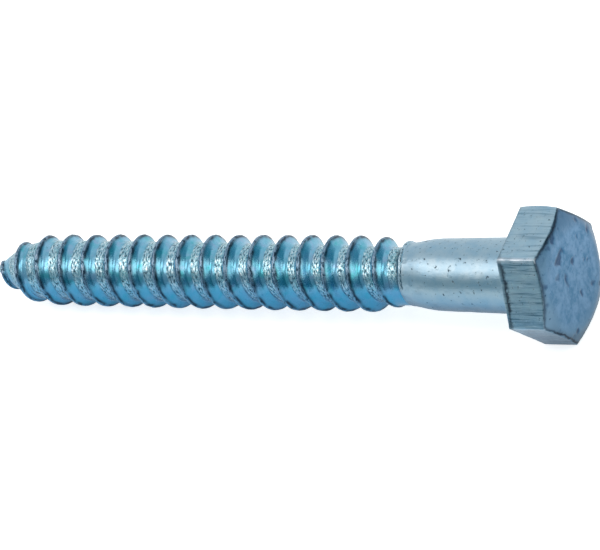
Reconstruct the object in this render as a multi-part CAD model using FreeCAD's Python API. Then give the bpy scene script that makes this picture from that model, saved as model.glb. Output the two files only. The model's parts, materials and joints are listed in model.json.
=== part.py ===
import FreeCAD, Part
import math
import os

# Lag screw with a hexagon head, laid down as it comes to rest: on one flat of its head
# and on the crests of its thread. Lengths are millimetres and angles are degrees.
#
# The screw is shaped along the X axis and turned into its rest position at the end.
# The bearing face under the head is at x = 0, the head reaches to x > 0 and the point
# to x < 0. A depth is a distance from the bearing face towards the point, so x = -depth.
# A bearing is an angle round the axis, counted from +Z towards +Y, which is clockwise
# for someone who looks at the end of the head. One flat of the head faces +Z.

# Head: a hot-forged hexagon whose corners are taken off at the top by a flat cone
across_flats = 19.0
head_height = 7.3
chamfer_angle = 23.0
end_face_diameter = 16.8
side_edge_round = 0.3
under_head_flare = 0.5

# Shank: a long slight taper, then a short cone down to the neck behind the thread
shank_diameter_at_head = 11.9
shank_diameter_at_neck = 11.13
neck_start = 16.9
neck_end = 20.7
neck_diameter = 9.85
shank_end = 21.2
shoulder_length = 0.9

# Core: what is left between the ridges, a little thicker towards the point. The first
# groove sinks from the neck to the core. Its place and length are in turns of the ridge.
core_diameter_at_shoulder = 8.17
core_diameter_at_point = 9.3
total_depth = 100.0
point_length = 11.4
core_point_power = 2.2
tip_diameter = 1.0
groove_start = -0.37
groove_run_in = 0.25
ungrooved_diameter = 9.6

# Thread: one right-hand ridge whose flanks stand at 30 degrees to the axis's normal
pitch = 4.53
thread_diameter = 11.78
first_crest = 26.1
flank_angle = 30.0
lip_diameter = 10.1
lip_run_in = 0.8
run_in_start = 24.3
run_in_end = 27.7
crest_fall = 0.25
crest_point_length = 17.3
crest_point_power = 4.2
least_height = 0.05
tip_softness = 0.3
sections_per_turn = 16
foot_rounds = 30

# Places that follow from the sizes above
point_start = total_depth - point_length
crest_point_start = total_depth - crest_point_length


def share_of(value, start, end):
    """How far a value is on its way from start to end, from 0 to 1."""
    return min(max((value - start) / (end - start), 0.0), 1.0)


def at_least(value, floor):
    """The value, led smoothly onto a floor that it doesn't fall below."""
    gap = value - floor
    return floor + (gap + math.sqrt(gap * gap + tip_softness * tip_softness)) / 2.0


def eased(share):
    """A share that starts and ends gently."""
    return share * share * (3.0 - 2.0 * share)


def core_radius(depth):
    """Radius of the threaded core: a parabola up to the point, then an ogive."""
    swell = 1.0 - (1.0 - share_of(depth, shank_end, point_start)) ** 2
    growth = core_diameter_at_point - core_diameter_at_shoulder
    radius = (core_diameter_at_shoulder + growth * swell) / 2.0
    along_point = max((depth - point_start) / (total_depth - point_start), 0.0)
    return at_least(radius * (1.0 - along_point ** core_point_power), tip_diameter / 2.0)


def root_radius(depth, groove):
    """Radius of the root at a depth in the groove that lies before the ridge, which is
    counted in turns like the ridge: first about level with the neck, later the core."""
    sunk = eased(share_of(groove, groove_start, groove_start + groove_run_in))
    return ungrooved_diameter / 2.0 * (1.0 - sunk) + core_radius(depth) * sunk


def crest_radius(depth):
    """Radius of the ridge's crest: it leaves the shank as the neck's lip, climbs, sinks a
    little along the screw, follows the point's ogive and fades into the core at the tip."""
    hidden = (ungrooved_diameter + neck_diameter) / 4.0
    lip = eased(share_of(depth, shank_end - lip_run_in, shank_end + lip_run_in))
    climb = eased(share_of(depth, run_in_start, run_in_end))
    fall = max((depth - run_in_end) / (crest_point_start - run_in_end), 0.0)
    radius = hidden + (lip_diameter / 2.0 - hidden) * lip
    radius += (thread_diameter - lip_diameter) / 2.0 * climb - crest_fall * fall ** 2
    along_point = max((depth - crest_point_start) / (total_depth - crest_point_start), 0.0)
    radius *= 1.0 - along_point ** crest_point_power
    core = core_radius(depth)
    return core + at_least(radius - core, least_height)


def on_screw(depth, bearing, radius):
    """The point of space at a depth, a bearing and a distance from the axis."""
    turn = math.radians(bearing)
    return FreeCAD.Vector(-depth, radius * math.sin(turn), radius * math.cos(turn))


def profile_point(depth, radius):
    """A point of the half section that is turned about the axis."""
    return FreeCAD.Vector(-depth, 0, radius)


def line(start, end):
    return Part.LineSegment(start, end).toShape()


def slant(start, end):
    """A straight line for a slight taper, as a curve that turns into few facets."""
    curve = Part.BezierCurve()
    curve.setPoles([start, end])
    return curve.toShape()


def make_shank():
    """Shank, neck and shoulder as one turned solid. It reaches into the head at one end
    and ends inside the threaded rod at the other."""
    slope = (shank_diameter_at_head - shank_diameter_at_neck) / 2.0 / neck_start
    flare_radius = shank_diameter_at_head / 2.0 - slope * under_head_flare
    inner_radius = (core_diameter_at_shoulder - shoulder_length) / 2.0
    middle_of_head = -head_height / 2.0
    corners = [
        profile_point(middle_of_head, 0),
        profile_point(middle_of_head, flare_radius + under_head_flare),
        profile_point(0, flare_radius + under_head_flare),
        profile_point(under_head_flare, flare_radius),
        profile_point(neck_start, shank_diameter_at_neck / 2.0),
        profile_point(neck_end, neck_diameter / 2.0),
        profile_point(shank_end, neck_diameter / 2.0),
        profile_point(shank_end + shoulder_length, inner_radius),
        profile_point(shank_end + shoulder_length, 0),
    ]
    edges = [line(start, end) for start, end in zip(corners, corners[1:] + corners[:1])]
    edges[2] = slant(corners[2], corners[3])
    edges[3] = slant(corners[3], corners[4])
    face = Part.Face(Part.Wire(edges))
    return face.revolve(FreeCAD.Vector(0, 0, 0), FreeCAD.Vector(1, 0, 0), 360)


def flank_foot(depth, direction):
    """Depth and radius at which a flank of the ridge meets the core. The direction is -1
    for the flank that faces the head and 1 for the one that faces the point."""
    slope = math.tan(math.radians(flank_angle))
    groove = (depth - first_crest) / pitch + max(direction, 0)
    reach = 0.0
    for _ in range(foot_rounds):
        reach = slope * (crest_radius(depth) - root_radius(depth + direction * reach, groove))
    return depth + direction * reach, root_radius(depth + direction * reach, groove)


def thread_profile(depth):
    """Corners of the ridge's section where its crest is at the given depth: the foot of
    the flank towards the head, the crest, and the foot of the flank towards the point."""
    return [flank_foot(depth, -1), (depth, crest_radius(depth)), flank_foot(depth, 1)]


def helix_curve(corner, first_turn, last_turn):
    """The spline that one corner of the section follows from one turn to another. The
    knots are counted in steps from the first crest, and turns of 360 degrees from +Z."""
    steps = range(first_turn * sections_per_turn, last_turn * sections_per_turn + 1)
    points = []
    for step in steps:
        depth, radius = thread_profile(first_crest + pitch * step / sections_per_turn)[corner]
        points.append(on_screw(depth, 360.0 * step / sections_per_turn, radius))
    curve = Part.BSplineCurve()
    curve.interpolate(Points=points, Parameters=[float(step) for step in steps])
    return curve


def one_turn(curve, turn):
    """The stretch of a helical spline that goes once round, from the given turn on."""
    stretch = curve.copy()
    stretch.segment(float(turn * sections_per_turn), float((turn + 1) * sections_per_turn))
    return stretch


def ruled_strip(first, second):
    """The face swept by a straight line that joins two splines of equal steps."""
    poles = [list(pair) for pair in zip(first.getPoles(), second.getPoles())]
    surface = Part.BSplineSurface()
    surface.buildFromPolesMultsKnots(
        poles, first.getMultiplicities(), [2, 2], first.getKnots(), [0.0, 1.0],
        False, False, first.Degree, 1)
    return surface.toShape()


def rod_end(edge, corners):
    """The two faces that close the rod: a helicoid between one turn of the root's edge
    and the axis, and the half section where that turn begins."""
    onto_axis = edge.copy()
    for number, pole in enumerate(edge.getPoles(), 1):
        onto_axis.setPole(number, FreeCAD.Vector(pole.x, 0, 0))
    section = corners + [onto_axis.EndPoint, onto_axis.StartPoint, corners[0]]
    return [ruled_strip(edge, onto_axis), Part.Face(Part.makePolygon(section))]


def make_rod():
    """The threaded rod: strips that share their edges, three to a turn, for the two
    flanks and the root. It starts inside the neck and is cut off square at the tip."""
    first = math.floor((shank_end - first_crest) / pitch) - 1
    last = math.ceil((total_depth - first_crest) / pitch) + 1
    curves = [helix_curve(corner, first, last + 1) for corner in range(3)]
    faces = []
    for turn in range(first, last):
        edges = [one_turn(curve, turn) for curve in curves]
        edges.append(one_turn(curves[0], turn + 1))
        faces += [ruled_strip(edges[index], edges[index + 1]) for index in range(3)]
    for turn in (first, last):
        edges = [one_turn(curve, turn) for curve in curves]
        faces += rod_end(edges[0], [edge.StartPoint for edge in edges] + [edges[0].EndPoint])
    shell = Part.makeShell(faces)
    shell.sewShape()
    rod = Part.makeSolid(shell)
    if rod.Volume < 0:
        rod.reverse()
    overrun = 4 * pitch
    beyond = Part.makeBox(overrun, thread_diameter, thread_diameter)
    corner = FreeCAD.Vector(-total_depth - overrun, -thread_diameter / 2, -thread_diameter / 2)
    beyond.translate(corner)
    return rod.cut(beyond)


def make_head():
    """A hexagonal prism with rounded corners, cut by the cone of its chamfer."""
    corner_radius = across_flats / 2.0 / math.cos(math.radians(30))
    corners = [on_screw(0, 30.0 + 60.0 * k, corner_radius) for k in range(6)]
    hexagon = Part.Face(Part.makePolygon(corners + corners[:1]))
    prism = hexagon.extrude(FreeCAD.Vector(head_height, 0, 0))
    side_edges = [edge for edge in prism.Edges if edge.BoundBox.XLength > head_height / 2.0]
    prism = prism.makeFillet(side_edge_round, side_edges)
    drop = (corner_radius - end_face_diameter / 2.0) * math.tan(math.radians(chamfer_angle))
    outline = [
        FreeCAD.Vector(0, 0, 0),
        FreeCAD.Vector(0, 0, corner_radius),
        FreeCAD.Vector(head_height - drop, 0, corner_radius),
        FreeCAD.Vector(head_height, 0, end_face_diameter / 2.0),
        FreeCAD.Vector(head_height, 0, 0),
    ]
    face = Part.Face(Part.makePolygon(outline + outline[:1]))
    envelope = face.revolve(FreeCAD.Vector(0, 0, 0), FreeCAD.Vector(1, 0, 0), 360)
    return prism.common(envelope)


def rest_tilt():
    """Angle by which the axis dips towards the point when the screw lies on the edge of
    its bearing face and on one crest. The crest that meets the floor gives the least."""
    tilts = []
    depth = first_crest + pitch / 2.0
    while depth < total_depth:
        tilts.append(math.atan2(across_flats / 2.0 - crest_radius(depth), depth))
        depth += pitch
    return math.degrees(min(tilts))


def lay_down(shape):
    """Turn the screw about the edge line's direction, so that it lies on a level floor."""
    laid = shape.copy()
    laid.rotate(FreeCAD.Vector(0, 0, 0), FreeCAD.Vector(0, 1, 0), -rest_tilt())
    return laid


def make_screw():
    threaded = make_rod().fuse(make_shank())
    return lay_down(threaded.fuse(make_head()))


os.makedirs("parts", exist_ok=True)
lag_screw = make_screw()
lag_screw.exportStep("parts/lag_screw.step")
print("solids", len(lag_screw.Solids), "valid", lag_screw.isValid(), "faces", len(lag_screw.Faces))
print("volume", round(lag_screw.Volume, 1), "tilt", round(rest_tilt(), 3), "box", lag_screw.BoundBox)
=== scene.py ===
import json
import math

import bpy
import numpy as np
from mathutils import Matrix, Vector


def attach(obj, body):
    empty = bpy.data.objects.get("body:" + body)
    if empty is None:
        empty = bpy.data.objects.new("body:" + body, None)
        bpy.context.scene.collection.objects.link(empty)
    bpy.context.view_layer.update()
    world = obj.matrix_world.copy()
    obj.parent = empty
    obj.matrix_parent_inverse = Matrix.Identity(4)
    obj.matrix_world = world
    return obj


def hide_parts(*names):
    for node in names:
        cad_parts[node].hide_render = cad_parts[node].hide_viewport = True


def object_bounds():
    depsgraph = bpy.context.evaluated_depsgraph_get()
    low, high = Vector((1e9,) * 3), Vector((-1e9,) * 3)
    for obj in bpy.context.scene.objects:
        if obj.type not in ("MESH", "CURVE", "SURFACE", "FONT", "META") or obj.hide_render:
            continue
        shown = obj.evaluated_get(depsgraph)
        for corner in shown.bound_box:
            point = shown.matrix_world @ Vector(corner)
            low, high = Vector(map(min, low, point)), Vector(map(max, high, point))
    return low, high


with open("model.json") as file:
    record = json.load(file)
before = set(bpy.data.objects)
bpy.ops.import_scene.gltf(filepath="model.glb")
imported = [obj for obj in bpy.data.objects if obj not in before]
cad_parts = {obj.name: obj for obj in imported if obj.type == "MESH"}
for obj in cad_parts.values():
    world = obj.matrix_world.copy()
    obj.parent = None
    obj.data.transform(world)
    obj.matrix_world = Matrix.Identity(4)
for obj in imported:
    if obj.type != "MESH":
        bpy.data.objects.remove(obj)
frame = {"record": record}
cad_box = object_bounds()


# The head and the shank are one blank of steel wire. The hexagon is forged at one end, with
# the draw marks of the die on its sides, and the shank is drawn down to a slight taper that
# ends in a neck and a sharp lip, where the thread starts. All of it is zinc-plated.

MILLIMETRE = 0.001

across_flats = 19.0
head_height = 7.3
chamfer_angle = math.radians(23.0)
end_face_radius = 8.4
corner_softness = 0.006
askew_under, askew_end, askew_reach = (-0.042, -0.014), (-0.028, 0.028), 0.8
shank_corners = [(17.1, 5.56), (0.5, 5.95), (0.0, 6.45)]
neck_start, shank_end, shoulder_length = 20.7, 21.2, 0.9
inner_radius, neck_radius = 3.6, 4.925
shank_rounds = [0.3, 0.3, 0.2, 1.6, 0.3, 0.3]
shank_rows = [1, 3, 3, 16, 44, 3]
head_rounds = [0.16, 0.22, 0.5]
head_rows = [6, 26, 8, 30]
rows_in_round = 5
head_columns = 528
corner_crowding = 0.55

one_side = math.pi / 3.0
plain_flat, lined_flat = 0.0, -one_side
# The corner that carries a painted highlight, and the corner that is fuller halfway up.
glint_corner, full_corner = -one_side / 2.0, one_side / 2.0
worn_and_glint_reach = math.radians(3.0)
full_side = 0.22
low_bearing = math.radians(-132.7)
edge_band, end_band, corner_band, side_band = 0.3, 0.35, 0.35, 0.15
under_inset, under_thickness, under_thinnest, under_rim = 0.8, 0.22, 0.16, (8.5, 9.1)
chamfer_inset, chamfer_thickness, chamfer_start, end_fade = 0.24, 0.2, 0.06, (0.6, -1.4)
grain_height, wave_height, mark_height = 0.006, 0.022, 0.008
dent_depth, end_dent_depth, edge_wear = 0.03, 0.10, 0.05

satin_pale, satin_deep, pit_dark = (0.37, 0.52, 0.61), (0.25, 0.43, 0.57), (0.015, 0.03, 0.05)
painted_shade_blue, rim_blue = (0.08, 0.29, 0.53), (0.08, 0.18, 0.31)
end_pale, end_deep = (0.18, 0.34, 0.54), (0.05, 0.19, 0.35)
mark_pale, mark_dark = (0.45, 0.66, 0.76), (0.04, 0.12, 0.19)
dent_dark, burr_and_shade_dark, bare_steel_and_glint = (0.02, 0.05, 0.12), (0.008, 0.015, 0.03), (0.78, 0.88, 0.97)

wrench_axis = next(mount["axis"] for mount in frame["record"]["mounts"]
                   if mount["name"] == "hex_drive")
tilt = math.atan2(wrench_axis[2], wrench_axis[0])


def laid_down(depth, bearing, radius):
    """Points of space in metres for arrays of depth under the head, bearing round the axis
    and distance from it, in millimetres and radians: x is minus the depth, y and z are the
    radius times sine and cosine of the bearing, and all is turned about Y by the tilt at
    which the screw lies."""
    x, z = -depth, radius * np.cos(bearing)
    turned = [x * math.cos(tilt) - z * math.sin(tilt), radius * np.sin(bearing),
              x * math.sin(tilt) + z * math.cos(tilt)]
    return np.stack(turned, axis=-1) * MILLIMETRE


def ramp(value, start, end):
    """0 at the start and 1 at the end, a straight line between, and level beyond both."""
    return np.clip((value - start) / (end - start), 0.0, 1.0)


def bell(value, middle, width, power=2):
    """1 at the middle and less on both sides: e to the minus distance over width, raised to
    an even power. A higher power has a flatter top and steeper sides."""
    return np.exp(-(((value - middle) / width) ** power))


def lattice_noise(points, cell, seed):
    """Smooth noise from -1 to 1 at points of space: seeded random values on a lattice with
    the given cell size, mixed in each cell by the smoothstep of the place within it. The
    cell may be one size or three, for noise that is drawn out along an axis."""
    table = np.random.default_rng(seed).uniform(-1.0, 1.0, (64, 64, 64))
    place = points / np.asarray(cell, dtype=float)
    low = np.floor(place).astype(int)
    share = place - low
    share = share * share * (3.0 - 2.0 * share)
    total = np.zeros(points.shape[:-1])
    for corner in np.ndindex(2, 2, 2):
        index = (low + corner) % 64
        weight = np.prod(np.where(np.array(corner) == 1, share, 1.0 - share), axis=-1)
        total += weight * table[index[..., 0], index[..., 1], index[..., 2]]
    return total


def rounded_path(corners, rounds, rows):
    """A path of depth and radius for every column at once. Straight runs between corners
    are divided evenly, and each inner corner is a parabola whose two feet lie at the given
    distance from it: (1-t)^2 A + 2t(1-t) P + t^2 B, with P the corner."""
    parts, start = [corners[0][None]], corners[0]
    for k, run in enumerate(rows):
        foot = here = corners[k + 1]
        if k < len(rounds):
            back, onward = corners[k] - here, corners[k + 2] - here
            foot = here + back * rounds[k] / np.linalg.norm(back, axis=-1, keepdims=True)
            leave = here + onward * rounds[k] / np.linalg.norm(onward, axis=-1, keepdims=True)
        share = (np.arange(1, run + 1) / run)[:, None, None]
        parts.append(start * (1.0 - share) + foot * share)
        if k < len(rounds):
            t = (np.arange(1, rows_in_round + 1) / rows_in_round)[:, None, None]
            parts.append((1.0 - t) ** 2 * foot + 2.0 * t * (1.0 - t) * here + t * t * leave)
            start = leave
    return np.concatenate(parts)


def surface_normals(points):
    """Unit normals of a grid of points, outwards: the cross product of its two central
    differences, with the columns taken as a closed ring."""
    along = np.gradient(points, axis=0)
    around = np.roll(points, -1, axis=1) - np.roll(points, 1, axis=1)
    normal = np.cross(along, around)
    length = np.linalg.norm(normal, axis=-1, keepdims=True)
    return normal / np.maximum(length, 1e-12)


def add_piece(name, points, faces, values):
    """A smooth-shaded mesh object from points, faces and named values at the points."""
    mesh = bpy.data.meshes.new(name)
    mesh.from_pydata(points.tolist(), [], faces.tolist())
    for label, value in values.items():
        attribute = mesh.attributes.new(label, "FLOAT", "POINT")
        attribute.data.foreach_set("value", value.astype(np.float32).ravel())
    mesh.shade_smooth()
    piece = bpy.data.objects.new(name, mesh)
    bpy.context.scene.collection.objects.link(piece)
    return piece


def ring_faces(rows, columns):
    """Triangles of a grid whose columns close into a ring and whose first and last rows are
    single points: a fan, then two triangles for each cell, then a fan."""
    column = np.arange(columns)
    next_column = (column + 1) % columns
    first_fan = np.stack([np.zeros_like(column), 1 + column, 1 + next_column], axis=1)
    row = np.arange(rows - 3)[:, None] * columns + 1
    here, beside = row + column, row + next_column
    ahead, ahead_beside = here + columns, beside + columns
    cells = np.concatenate([np.stack([here, ahead, ahead_beside], axis=-1),
                            np.stack([here, ahead_beside, beside], axis=-1)])
    last = 1 + (rows - 3) * columns
    pole = np.full_like(column, last + columns)
    last_fan = np.stack([last + column, pole, last + next_column], axis=1)
    return np.concatenate([first_fan, cells.reshape(-1, 3), last_fan])


# The columns stand closer at the six corners. The hexagon's radius is half its width over
# the larger cosine of the angles to the two nearest flats, taken softly at the corner.
turn = np.linspace(0.0, 2.0 * math.pi, head_columns, endpoint=False) + math.pi
head_bearing = turn + corner_crowding * np.sin(6.0 * turn) / 6.0
from_flat = (head_bearing + one_side / 2.0) % one_side - one_side / 2.0
nearer, farther = np.cos(from_flat), np.cos(one_side - np.abs(from_flat))
gap = nearer - farther
hexagon = across_flats / (nearer + farther + np.sqrt(gap ** 2 + corner_softness ** 2))
chamfer_drop = (hexagon - end_face_radius) * math.tan(chamfer_angle)
side_height = head_height - chamfer_drop


def columns_of(depth, radius):
    """One corner of the profile for every column. Either value may differ by column."""
    level = np.zeros(head_columns)
    return np.stack([level + depth, level + radius], axis=-1)


path_corners = [columns_of(shank_end + shoulder_length, 0.0),
                columns_of(shank_end + shoulder_length, inner_radius),
                columns_of(shank_end, neck_radius), columns_of(neck_start, neck_radius)]
path_corners += [columns_of(*corner) for corner in shank_corners]
path_corners += [columns_of(0.0, hexagon), columns_of(-side_height, hexagon),
                 columns_of(-head_height, end_face_radius), columns_of(-head_height, 0.0)]
path = rounded_path(path_corners, shank_rounds + head_rounds, shank_rows + head_rows)
depth, radius = path[..., 0], path[..., 1]
bearing = np.broadcast_to(head_bearing, depth.shape)

# Both faces of the forged head are a little askew: each point moves along the axis by its
# place across the face times the face's lean.
upward = ramp(-depth, 0.0, head_height)
lean_y = askew_under[0] * (1.0 - upward) + askew_end[0] * upward
lean_z = askew_under[1] * (1.0 - upward) + askew_end[1] * upward
lean = radius * (lean_y * np.sin(bearing) + lean_z * np.cos(bearing))
smooth = laid_down(depth - lean * ramp(depth, askew_reach, 0.0), bearing, radius)
upright = np.stack([-depth, radius * np.sin(bearing), radius * np.cos(bearing)], axis=-1)


def facing(middle, spread):
    """For each column of the head, 1 near a bearing and 0 beyond the spread: a flat-topped
    bell of the angle between."""
    apart = (head_bearing - middle + math.pi) % (2.0 * math.pi) - math.pi
    return bell(apart, 0.0, spread, power=4)


# Masks from 0 to 1 say where the surface is: on the head, its end, its six corners, its
# sides, the dark edge under it and that of the chamfer, both ragged by the noise. The two
# dark edges are partly burr and partly painted shade in their creases.
grain = lattice_noise(upright, cell=0.9, seed=11)
grain += 0.5 * lattice_noise(upright, cell=0.4, seed=12)
ragged = 0.10 * grain + 0.07 * lattice_noise(upright, cell=0.22, seed=18)
past_edge = hexagon - radius
on_lined, on_plain = facing(lined_flat, spread=0.55), facing(plain_flat, spread=0.5)
on_head = ramp(-depth, 0.0, edge_band)
on_end = ramp(-depth, head_height - end_band, head_height - end_band + edge_band)
to_corner = ramp(np.abs(from_flat), one_side / 2.0 - worn_and_glint_reach, one_side / 2.0)
on_corner = to_corner * on_head * (past_edge < corner_band)
on_side = on_head * (1.0 - on_end) * (past_edge < side_band)
under_place = (under_inset + 1.6 * ragged) * on_lined
under_width = np.maximum(under_thickness + 0.16 * on_lined + 2.0 * ragged, under_thinnest)
under_edge = bell(np.minimum(depth, 0.0), -under_place, under_width) * ramp(radius, *under_rim)
chamfer_width = chamfer_thickness + 0.16 * on_lined + 0.14 * on_plain + 0.5 * ragged
chamfer_edge = bell(past_edge, chamfer_inset - 1.4 * ragged, chamfer_width)
chamfer_edge = chamfer_edge * ramp(past_edge, 0.0, chamfer_start) * (depth < -0.8 * side_height)

# How far the surface stands out: grain, shallow waves and draw marks, one corner that is a
# little fuller halfway up, less the dents and the wear of the ragged edges.
waves = lattice_noise(upright, cell=3.2, seed=13)
drawn = lattice_noise(upright, cell=(9.0, 0.55, 0.55), seed=14)
drawn += 0.6 * lattice_noise(upright, cell=(5.0, 0.3, 0.3), seed=15)
dents = lattice_noise(upright, cell=1.7, seed=16)
dents += 0.45 * lattice_noise(upright, cell=0.7, seed=17)
dents = ramp(dents, start=0.48, end=0.78)
lined = 0.5 + 0.5 * on_lined
lift = grain_height * grain + wave_height * waves + mark_height * drawn * on_side * lined
halfway_up = np.sin(math.pi * ramp(-depth, 0.0, side_height))
lift += full_side * facing(full_corner, spread=0.2) * halfway_up
lift -= (end_dent_depth * on_end + dent_depth) * dents
lift -= edge_wear * ramp(grain, start=-1.2, end=0.8) * (under_edge + chamfer_edge)
points = smooth + surface_normals(smooth) * (lift * MILLIMETRE)[..., None]
grid = np.concatenate([points[0, :1], points[1:-1].reshape(-1, 3), points[-1, :1]])

# Colour there: the low front side is painted a deeper blue as painted shade, the chamfer rim
# and end face are painted a little paler towards that side as painted light, and one corner
# is worn to bare steel with a painted highlight along it.
downward = np.cos(bearing - low_bearing)
# Painted light: the chamfer rim and the end face keep less of their darker tones towards the low
# front side.
from_top = 0.5 + 0.5 * downward * np.minimum(radius / (across_flats / 2.0), 1.0)
top = ramp(past_edge, 0.0, edge_band) * (depth < -0.7 * side_height)
end = top * ramp(radius - end_face_radius - 0.6 * waves, *end_fade) * (1.0 - 0.25 * from_top)
top = top * (1.0 - 0.4 * from_top)
# Painted shade: the low front side of head and shank is made a deeper blue.
low = ramp(downward, start=0.45, end=0.95) * (1.0 - top)
# Bare steel at the corners: a little wear on all six, and a painted highlight along one.
worn_and_glint = (0.10 + 0.85 * facing(glint_corner, spread=0.25)) * ramp(grain, start=-1.0, end=0.25)
# Dark lines under the head and along the chamfer: partly burr, partly painted shade in the creases.
burr_and_shade = chamfer_edge * (0.75 + 0.25 * facing(plain_flat, spread=0.6))
burr_and_shade += under_edge * (0.4 + 0.6 * on_lined)
# Painted shade: the lowest side of the head and shank, short of the end, is darkened.
burr_and_shade += 0.36 * ramp(downward, start=0.75, end=0.95) * (1.0 - on_end)
zinc_values = {"worn_and_glint": worn_and_glint * on_corner, "side": on_side * lined, "end": end, "low": low,
               "top": top, "burr_and_shade": np.clip(burr_and_shade, 0.0, 1.0),
               "dent": dents * np.minimum(on_end + 0.15, 1.0)}


def at_points(value):
    """The values of a grid that belong to the mesh: one for each end, all of the others."""
    return np.concatenate([value[0, :1], value[1:-1].ravel(), value[-1, :1]])


blank = add_piece("headed_blank", grid, ring_faces(len(depth), head_columns),
                  {label: at_points(value) for label, value in zinc_values.items()})


def feed(tree, socket, source):
    """Links another node's result to a socket, or sets the socket itself to a plain value. A
    colour is given as red, green and blue."""
    if isinstance(source, bpy.types.NodeSocket):
        tree.links.new(source, socket)
    elif socket.type == "RGBA":
        socket.default_value = (*source, 1.0)
    else:
        socket.default_value = source


def add_node(tree, kind, **settings):
    """A node with its settings. Where a name is one of its sockets, the value goes there."""
    made = tree.nodes.new(kind)
    for name, value in settings.items():
        socket = made.inputs.get(name.replace("_", " "))
        if socket is None:
            setattr(made, name, value)
        else:
            feed(tree, socket, value)
    return made


def noise(tree, place, scale, detail, roughness, distortion=0.0):
    """A cloudy pattern of values about a half, at a coordinate."""
    return add_node(tree, "ShaderNodeTexNoise", Vector=place, Scale=scale, Detail=detail,
                    Roughness=roughness, Distortion=distortion).outputs[0]


def between(tree, source, start, end, first=0.0, last=1.0):
    """The first value at the start and the last at the end, a straight line between, and
    level beyond both."""
    return add_node(tree, "ShaderNodeMapRange", Value=source, From_Min=start, From_Max=end,
                    To_Min=first, To_Max=last).outputs[0]


def combined(tree, operation, *values):
    """The result of a math node. Each value may be a number or a socket."""
    made = add_node(tree, "ShaderNodeMath", operation=operation)
    for socket, source in zip(made.inputs, values):
        feed(tree, socket, source)
    return made.outputs[0]


def blended(tree, factor, first, second):
    """The second colour over the first by the factor. Each may be a colour or a socket."""
    mix = add_node(tree, "ShaderNodeMix", data_type="RGBA", Factor=factor)
    feed(tree, mix.inputs[6], first)
    feed(tree, mix.inputs[7], second)
    return mix.outputs[2]


def layered(tree, colour, layers):
    """A colour with others over it in their order, each by its mask times its strength."""
    for mask, strength, over in layers:
        colour = blended(tree, combined(tree, "MULTIPLY", mask, strength), colour, over)
    return colour


def value_of(tree, label):
    """The named value that the mesh carries at its points."""
    return add_node(tree, "ShaderNodeAttribute", attribute_name=label).outputs["Fac"]


def zinc_group():
    """Blue-passivated zinc over steel, as colour, roughness and height: a slow drift
    between two tones, small dark pits, and fine grain. The coordinate is in millimetres."""
    tree = bpy.data.node_groups.new("zinc_coat", "ShaderNodeTree")
    for side, kind, names in (("INPUT", "Vector", ["Vector"]),
                              ("INPUT", "Color", ["Light Tone", "Deep Tone", "Pit Tone"]),
                              ("INPUT", "Float", ["Drift", "Pits", "Shine"]),
                              ("OUTPUT", "Color", ["Color"]),
                              ("OUTPUT", "Float", ["Roughness", "Height"])):
        for name in names:
            tree.interface.new_socket(name, in_out=side, socket_type="NodeSocket" + kind)
    given = tree.nodes.new("NodeGroupInput").outputs
    result = tree.nodes.new("NodeGroupOutput").inputs
    clouds = noise(tree, given["Vector"], scale=0.45, detail=4.0, roughness=0.6)
    fine = noise(tree, given["Vector"], scale=4.5, detail=3.0, roughness=0.65)
    spots = noise(tree, given["Vector"], scale=1.6, detail=3.5, roughness=0.7)
    spread = between(tree, clouds, start=0.32, end=0.68)
    drift = combined(tree, "MULTIPLY", spread, given["Drift"])
    tones = blended(tree, drift, given["Light Tone"], given["Deep Tone"])
    pits = between(tree, spots, start=0.62, end=0.69)
    pits = combined(tree, "MULTIPLY", pits, given["Pits"])
    feed(tree, result["Color"], blended(tree, pits, tones, given["Pit Tone"]))
    dull = combined(tree, "MULTIPLY_ADD", fine, 0.18, given["Shine"])
    feed(tree, result["Roughness"], combined(tree, "MULTIPLY_ADD", pits, 0.3, dull))
    feed(tree, result["Height"], combined(tree, "MULTIPLY_ADD", pits, -1.2, fine))
    return tree


zinc = zinc_group()


def zinc_material(name, tones, drift, pits, shine):
    """A metal whose zinc coat has its own light, deep and pit tones and its own amounts of
    drift, pits and shine. Returns it with its tree, the coordinate in millimetres along the
    screw's axis, and the coat's results."""
    material = bpy.data.materials.new(name)
    material.use_nodes = True
    tree = material.node_tree
    place = add_node(tree, "ShaderNodeMapping", Rotation=(0.0, tilt, 0.0),
                     Vector=add_node(tree, "ShaderNodeTexCoord").outputs["Object"],
                     Scale=(1.0 / MILLIMETRE, 1.0 / MILLIMETRE, 1.0 / MILLIMETRE)).outputs[0]
    coat = add_node(tree, "ShaderNodeGroup", node_tree=zinc)
    for socket, source in zip(coat.inputs, (place, *tones, drift, pits, shine)):
        feed(tree, socket, source)
    surface = tree.nodes["Principled BSDF"].inputs
    surface["Metallic"].default_value = 1.0
    feed(tree, surface["Roughness"], coat.outputs["Roughness"])
    return material, tree, place, coat.outputs


def finish_zinc(piece, material, colour, height):
    """Gives the material its colour and, by a bump of a fiftieth of a millimetre, its
    height, and puts it on the piece."""
    tree = material.node_tree
    bump = add_node(tree, "ShaderNodeBump", Height=height, Strength=1.0, Distance=0.02 * MILLIMETRE)
    surface = tree.nodes["Principled BSDF"].inputs
    feed(tree, surface["Base Color"], colour)
    feed(tree, surface["Normal"], bump.outputs[0])
    piece.data.materials.append(material)


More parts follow.
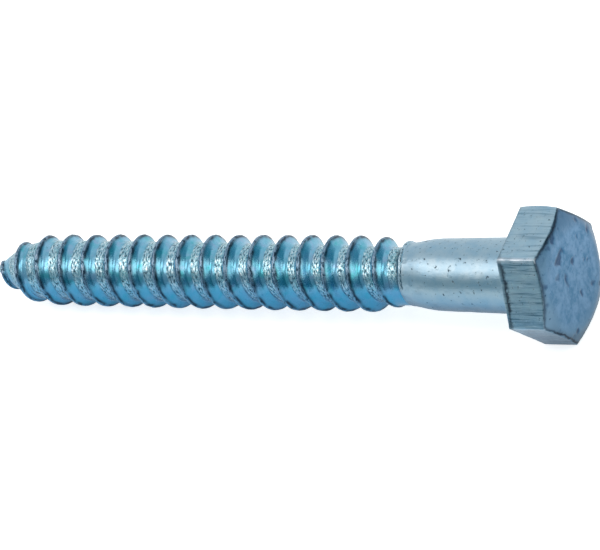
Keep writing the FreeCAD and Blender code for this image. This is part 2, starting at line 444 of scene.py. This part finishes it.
satin, tree, place, coat = zinc_material("satin_zinc", (satin_pale, satin_deep, pit_dark),
                                         drift=0.8, pits=0.9, shine=0.22)
drawn_out = add_node(tree, "ShaderNodeMapping", Vector=place, Scale=(0.05, 1.0, 1.0)).outputs[0]
marks = noise(tree, drawn_out, scale=2.6, detail=3.0, roughness=0.6)
side = value_of(tree, "side")
streaks = combined(tree, "MULTIPLY", between(tree, marks, start=0.52, end=0.66), side)
faint_marks = combined(tree, "MULTIPLY", between(tree, marks, start=0.50, end=0.36), side)
blotches = noise(tree, place, scale=0.62, detail=5.0, roughness=0.7)
end_tone = blended(tree, between(tree, blotches, start=0.40, end=0.62), end_pale, end_deep)
satin_colour = layered(tree, coat["Color"], [
    (value_of(tree, "low"), 0.65, painted_shade_blue), (value_of(tree, "top"), 0.95, rim_blue),
    (value_of(tree, "end"), 0.85, end_tone), (faint_marks, 0.5, mark_pale),
    (streaks, 0.85, mark_dark), (value_of(tree, "dent"), 0.75, dent_dark),
    # Painted shade in the creases and on the underside, then bare steel with a painted highlight at
    # one corner.
    (value_of(tree, "burr_and_shade"), 0.92, burr_and_shade_dark), (value_of(tree, "worn_and_glint"), 1.0, bare_steel_and_glint)])
finish_zinc(blank, satin, satin_colour, combined(tree, "MULTIPLY_ADD", streaks, -0.7, coat["Height"]))
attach(blank, "root")
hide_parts("lag_screw")


# The thread is the front of the same blank, rolled between dies into one coarse right-hand
# ridge that climbs out of the neck, runs at nearly full height and dies away on the blunt
# point. The rolls leave smooth flanks, a narrow torn crest, and a root full of scale.

pitch = 4.53
first_crest = 26.1
thread_radius, lip_radius, buried_radius, ungrooved_radius = 5.89, 5.05, 4.8625, 4.8
crest_half_width, crest_shift, crest_border = 0.24, 0.22, 0.35
crest_round, foot_round, smooth_foot = 0.09, 0.40, 1.95
flank_slope = math.tan(math.radians(30.0))
lip_run_in, run_in = (20.4, 22.0), (24.3, 27.7)
lip_end = (-0.62, -0.50)
groove_start, groove_run_in = -0.37, 0.25
crest_fall = 0.25
rod_start, core_start, point_start, crest_point_start, total_depth = 20.6, 21.2, 88.6, 82.7, 100.0
core_radii, core_girth = (4.085, 4.65), 28.0
core_point_power, crest_point_power = 2.2, 4.2
tip_radius, tip_softness, tip_round, least_height = 0.5, 0.3, 0.7, 0.05
tip_calm, least_calm = 6.0, 0.15
scale_height, slow_height = 0.045, 0.025
scale_pit_depth, lip_depth, foot_depth = 0.10, 0.06, 0.03
scale_across, scale_along = 3.6, 6.0
rod_columns = 132
rows_per_turn = 42
crowded_rows = [(-0.117, 3.5, 0.03), (0.035, 3.0, 0.018)]

thread_pale, thread_deep, thread_pit = (0.24, 0.51, 0.70), (0.11, 0.42, 0.58), (0.01, 0.03, 0.05)
violet_film, green_film = (0.30, 0.43, 0.64), (0.05, 0.43, 0.50)
scale_grey, scale_dark, fleck_pale = (0.36, 0.58, 0.64), (0.01, 0.04, 0.07), (0.78, 0.87, 0.91)
crest_slate, thread_painted_shade_blue, tear_and_shade_dark = (0.16, 0.25, 0.38), (0.03, 0.27, 0.53), (0.01, 0.02, 0.04)
neck_pale = (0.36, 0.51, 0.61)


def at_least(value, floor, softness):
    """The larger of two values, led smoothly from one to the other: half of their sum plus
    the root of their difference squared and the softness squared."""
    gap = value - floor
    return floor + (gap + np.sqrt(gap * gap + softness * softness)) / 2.0


def eased(value, start, end):
    """How far a value is on its way from start to end: the smoothstep 3s^2 - 2s^3."""
    share = ramp(value, start, end)
    return share * share * (3.0 - 2.0 * share)


def core_radius(depth):
    """Radius of the core: a parabola up to the point, then a power that falls to the tip."""
    swell = 1.0 - (1.0 - ramp(depth, core_start, point_start)) ** 2
    radius = core_radii[0] + (core_radii[1] - core_radii[0]) * swell
    along = np.maximum((depth - point_start) / (total_depth - point_start), 0.0)
    return at_least(radius * (1.0 - along ** core_point_power), tip_radius, tip_softness)


def crest_radius(depth):
    """Radius of the crest: two smoothsteps, from the shank to the neck's lip and from there
    to the thread's full height, then a squared fall, and a power at the point."""
    radius = buried_radius + (lip_radius - buried_radius) * eased(depth, *lip_run_in)
    radius += (thread_radius - lip_radius) * eased(depth, *run_in)
    fall = np.maximum((depth - run_in[1]) / (crest_point_start - run_in[1]), 0.0)
    radius -= crest_fall * fall ** 2
    along = np.maximum((depth - crest_point_start) / (total_depth - crest_point_start), 0.0)
    radius = radius * (1.0 - along ** crest_point_power)
    core = core_radius(depth)
    return core + at_least(radius - core, least_height, tip_softness)


# The rows follow the ridge, turn by turn, and stand closer at the two edges of its crest:
# the crowded rows are their places in the turn, how much closer, and how far that reaches.
# The columns go once round the axis, and the last column meets the first one turn on.
fine_row = np.linspace(-0.5, 0.5, 2001)
crowd = np.ones_like(fine_row)
for row_at, strength, spread in crowded_rows:
    crowd += strength * bell(fine_row, row_at, spread)
share = np.concatenate([[0.0], np.cumsum((crowd[1:] + crowd[:-1]) / 2.0)])
one_turn = np.interp(np.linspace(0.0, 1.0, rows_per_turn + 1), share / share[-1], fine_row)[:-1]
turns = np.arange(math.floor((rod_start - first_crest) / pitch) - 1,
                  math.ceil((total_depth - first_crest) / pitch) + 1)
row_place = (turns[:, None] + one_turn).ravel()
column_turn = np.arange(rod_columns + 1) / rod_columns - 0.5
depth = first_crest + pitch * (row_place[:, None] + column_turn)
bearing = np.broadcast_to(2.0 * math.pi * column_turn, depth.shape)
across = np.tile(one_turn * pitch, len(turns))[:, None] + np.zeros(rod_columns + 1)
crest_depth = depth - across
wound = np.repeat(turns, rows_per_turn)[:, None] + column_turn


def ridge_noise(cell, seed):
    """Noise that runs with the ridge, from the place across it and the length wound along
    it, in cells of the given sizes. Towards the middle of the root it is mixed with the
    noise of the neighbouring turn, so that both sides agree there."""
    side = np.sign(across)
    share = np.clip(np.abs(across) / pitch * 2.0 - 0.5, 0.0, 0.5)
    own = np.stack([across, wound * core_girth, np.zeros_like(depth)], axis=-1)
    other = np.stack([across - side * pitch, (wound + side) * core_girth, np.zeros_like(depth)],
                     axis=-1)
    cell = (*cell, 1.0)
    return (1.0 - share) * lattice_noise(own, cell, seed) + share * lattice_noise(other, cell, seed)


# The ridge is the crest's radius less the way from the crest over the flank's slope, and
# the floor is the core's radius, reached over a quarter turn where the first groove starts.
torn = ridge_noise(cell=(1.0, 1.3), seed=21) + 0.6 * ridge_noise(cell=(0.5, 0.5), seed=22)
scale = ridge_noise(cell=(0.32, 1.3), seed=23) + 0.7 * ridge_noise(cell=(0.24, 0.6), seed=24)
slow = ridge_noise(cell=(1.6, 4.0), seed=25)
from_crest = across + crest_shift
off_crest = at_least(np.abs(from_crest) - crest_half_width, 0.0, crest_round)
core, full_radius = core_radius(depth), crest_radius(crest_depth)
sunk = eased(wound + (across > 0.0), groove_start, groove_start + groove_run_in)
floor_radius = ungrooved_radius + (core - ungrooved_radius) * sunk
radius = at_least(full_radius - off_crest / flank_slope, floor_radius, foot_round)
height = np.clip((radius - core) / np.maximum(full_radius - core, least_height), 0.0, 1.0)

# Masks from 0 to 1 say where the surface is: in the root, on the crest, in the tear along
# its border, in the line at the foot of the flank, and on the neck, whose lip is softer. The
# tear and the foot line are dark partly as painted shade in their grooves, and the band beside
# the neck's lip is painted shade.
past_foot = np.where(across < 0.0, -across, pitch - across) - smooth_foot - 0.12 * torn
root = ramp(height, start=0.25, end=0.0) * ramp(past_foot, start=0.0, end=0.2) * sunk
border = crest_border + 0.06 * torn
on_ridge = ramp(height, start=0.2, end=0.4)
crest = ramp(np.abs(from_crest) - border, start=0.0, end=-0.06) * on_ridge
rough = np.maximum(root, crest)
broken = np.clip(0.8 + 0.6 * ridge_noise(cell=(2.0, 0.7), seed=26), 0.0, 1.0)
past_lip = ramp(wound, *lip_end)
# Painted shade: a dark band in the groove beside the neck's lip.
neck_groove_shade = 0.6 * bell(from_crest, middle=0.95, width=0.5, power=4) * sunk
lip = bell(from_crest, middle=-border, width=0.15) * broken * on_ridge
lip = lip * past_lip + neck_groove_shade * (1.0 - past_lip)
neck = (1.0 - past_lip) * ramp(from_crest, start=0.7, end=0.4)
foot_line = bell(past_foot, middle=0.0, width=0.11) * np.clip(0.2 + 0.8 * torn, 0.0, 1.0) * sunk

# The scale stands out from the root and the crest, while its pits, the tear and the line at
# the foot are sunk. All of it is calmer towards the tip, which is a quarter of an ellipse.
calm = np.clip((total_depth - depth) / tip_calm, least_calm, 1.0)
scale_pits = rough * np.clip(scale - 0.7, 0.0, 1.0)
radius += calm * rough * (scale_height * scale + slow_height * slow)
radius -= calm * (scale_pit_depth * scale_pits + lip_depth * lip + foot_depth * foot_line)
radius *= np.sqrt(1.0 - (1.0 - ramp(depth, total_depth, total_depth - tip_round)) ** 2)
points = laid_down(depth, bearing, radius)

# Points before the start and past the tip fall together in two poles.
rows = len(row_place)
number = np.arange(rows)[:, None] + np.zeros((1, rod_columns + 1), dtype=int)
lowest = (depth > rod_start).argmax(axis=0) - 1
highest = rows - (depth < total_depth)[::-1].argmax(axis=0)
vertex = number * rod_columns + np.arange(rod_columns + 1)
vertex[:-rows_per_turn, -1] = vertex[rows_per_turn:, 0]
start_pole, end_pole = rows * rod_columns, rows * rod_columns + 1
vertex = np.where(number <= lowest, start_pole, np.where(number >= highest, end_pole, vertex))
poles = laid_down(np.array([rod_start, total_depth]), np.zeros(2), np.zeros(2))
all_points = np.concatenate([points[:, :-1].reshape(-1, 3), poles])
here, beside = vertex[:-1, :-1], vertex[:-1, 1:]
ahead, ahead_beside = vertex[1:, :-1], vertex[1:, 1:]
faces = np.concatenate([np.stack([here, beside, ahead_beside], axis=-1).reshape(-1, 3),
                        np.stack([here, ahead_beside, ahead], axis=-1).reshape(-1, 3)])
whole = (faces[:, 0] != faces[:, 1]) & (faces[:, 1] != faces[:, 2]) & (faces[:, 2] != faces[:, 0])
used, faces = np.unique(faces[whole], return_inverse=True)
faces = faces.reshape(-1, 3)


def at_used(value):
    """The values of the helical grid that belong to the mesh's points, and 0 at its poles."""
    return np.concatenate([value[:, :-1].ravel(), [0.0, 0.0]])[used]


# Painted shade: the low front side of the thread is made a deeper blue.
low = ramp(np.cos(bearing - low_bearing), start=0.1, end=0.7)
thread_values = {"rough": rough, "crest": crest * past_lip, "neck": neck,
                 "low": low * (1.0 - 0.12 * rough),
                 # The dark tear and foot line, partly painted shade, painted darker still on the low
                 # front side.
                 "lip": np.clip(lip + foot_line * (0.5 + 0.5 * low), 0.0, 1.0),
                 "across": scale_across * (depth - pitch * column_turn),
                 "along": scale_along * bearing}
rod = add_piece("rolled_thread", all_points[used], faces,
                {label: at_used(value) for label, value in thread_values.items()})

rolled, tree, place, coat = zinc_material("rolled_zinc", (thread_pale, thread_deep, thread_pit),
                                          drift=0.9, pits=0.35, shine=0.15)
hues = noise(tree, place, scale=0.42, detail=3.0, roughness=0.6, distortion=0.6)
rough_mask = value_of(tree, "rough")
with_ridge = add_node(tree, "ShaderNodeCombineXYZ", X=value_of(tree, "across"),
                      Y=value_of(tree, "along")).outputs[0]
spots = noise(tree, with_ridge, scale=1.15, detail=2.5, roughness=0.6)
in_scale = combined(tree, "MULTIPLY", between(tree, spots, start=0.54, end=0.61), rough_mask)
flecks = combined(tree, "MULTIPLY", between(tree, spots, start=0.47, end=0.41), rough_mask)
rolled_colour = layered(tree, coat["Color"], [
    (between(tree, hues, start=0.53, end=0.66), 0.55, violet_film),
    (between(tree, hues, start=0.46, end=0.34), 0.6, green_film),
    (rough_mask, 0.62, scale_grey), (flecks, 0.6, fleck_pale),
    (value_of(tree, "crest"), 0.75, crest_slate), (value_of(tree, "low"), 0.72, thread_painted_shade_blue),
    (value_of(tree, "neck"), 0.85, neck_pale), (in_scale, 0.92, scale_dark),
    (value_of(tree, "lip"), 0.92, tear_and_shade_dark)])
fine_height = combined(tree, "MULTIPLY_ADD", rough_mask, 1.2, 0.3)
fine_height = combined(tree, "MULTIPLY", fine_height, coat["Height"])
finish_zinc(rod, rolled, rolled_colour, combined(tree, "MULTIPLY_ADD", in_scale, -2.4, fine_height))
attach(rod, "root")
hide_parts("lag_screw")


# A plain white sheet lies under the screw. A soft lamp stands above the point, another
# hangs overhead, a low strip beyond the head lights the flanks, and the camera has the long
# lens of a catalogue picture.

sheet_half = 3.0
sheet_height = cad_box[0][2]
paper_white, glow_seen, glow_mirrored = (0.8, 0.8, 0.8), 0.72, 0.28
screw_middle = Vector((-0.047, 0.0, 0.0))

sheet = bpy.data.meshes.new("white_sheet")
sheet.from_pydata([(x * sheet_half, y * sheet_half, sheet_height)
                   for x, y in ((-1, -1), (1, -1), (1, 1), (-1, 1))], [], [(0, 1, 2, 3)])
floor = bpy.data.objects.new("white_sheet", sheet)
bpy.context.scene.collection.objects.link(floor)
paper = bpy.data.materials.new("white_paper")
paper.use_nodes = True
tree = paper.node_tree
surface = tree.nodes["Principled BSDF"].inputs
rays = add_node(tree, "ShaderNodeLightPath").outputs
glow = combined(tree, "MULTIPLY", rays["Is Camera Ray"], glow_seen)
glow = combined(tree, "MULTIPLY_ADD", rays["Is Glossy Ray"], glow_mirrored, glow)
for socket, value in (("Base Color", paper_white), ("Roughness", 0.9),
                      ("Emission Color", (1.0, 1.0, 1.0)), ("Emission Strength", glow)):
    feed(tree, surface[socket], value)
sheet.materials.append(paper)


def soft_lamp(name, direction, distance, width, length, power, colour):
    """A rectangular lamp that stands in a direction from the screw's middle, facing it."""
    data = bpy.data.lights.new(name, "AREA")
    data.shape = "RECTANGLE"
    data.size, data.size_y = width, length
    data.energy = power
    data.color = colour
    lamp = bpy.data.objects.new(name, data)
    toward = Vector(direction).normalized()
    lamp.location = screw_middle + toward * distance
    lamp.rotation_euler = toward.to_track_quat("Z", "Y").to_euler()
    lamp.visible_camera = False
    bpy.context.scene.collection.objects.link(lamp)
    return lamp


soft_lamp("key_lamp", (-0.61, -0.29, 0.73), distance=1.2, width=1.08, length=0.4,
          power=3.25, colour=(1.0, 0.79, 0.70))
overhead = soft_lamp("overhead_lamp", (0.0, 0.0, 1.0), distance=1.1, width=1.3, length=0.46,
                     power=3.6, colour=(1.0, 0.92, 0.86))
overhead.location += Vector((0.5, -0.28, 0.0))
soft_lamp("strip_lamp", (0.90, 0.11, 0.40), distance=1.2, width=0.54, length=0.72,
          power=2.7, colour=(1.0, 0.86, 0.73))

# The studio round the sheet is brightest at the back, and darker and bluer past the head.
front_sky, back_sky, head_sky = (0.72, 0.93, 1.0), (0.95, 0.98, 1.0), (0.22, 0.80, 1.0)
world = bpy.data.worlds.new("studio")
bpy.context.scene.world = world
world.use_nodes = True
tree = world.node_tree
background = tree.nodes["Background"].inputs
towards = add_node(tree, "ShaderNodeSeparateXYZ",
                   Vector=add_node(tree, "ShaderNodeTexCoord").outputs["Generated"]).outputs
at_back = between(tree, towards["Y"], start=-0.9, end=0.7, first=0.40, last=0.9)
past_head = between(tree, towards["X"], start=0.38, end=0.62, first=1.0, last=0.42)
bright = combined(tree, "MULTIPLY", at_back, past_head)
sky = blended(tree, between(tree, towards["Y"], start=0.2, end=-0.7), back_sky, front_sky)
sky = blended(tree, between(tree, towards["X"], start=0.38, end=0.62), sky, head_sky)
feed(tree, background["Strength"], bright)
feed(tree, background["Color"], sky)

camera_place = Vector((0.523682, -0.610243, 0.694939))
camera_right = Vector((0.85234, 0.37919, -0.36018))
camera_up = Vector((-0.04110, 0.73513, 0.67668))
camera_back = Vector((0.52137, -0.56196, 0.64216))
camera_data = bpy.data.cameras.new("camera")
camera_data.sensor_width = 36.0
camera_data.lens = 418.99
camera = bpy.data.objects.new("camera", camera_data)
camera.matrix_world = (Matrix.Translation(camera_place)
                       @ Matrix((camera_right, camera_up, camera_back)).transposed().to_4x4())
bpy.context.scene.collection.objects.link(camera)
bpy.context.scene.camera = camera
bpy.context.scene.view_settings.view_transform = "Standard"

bpy.context.view_layer.update()
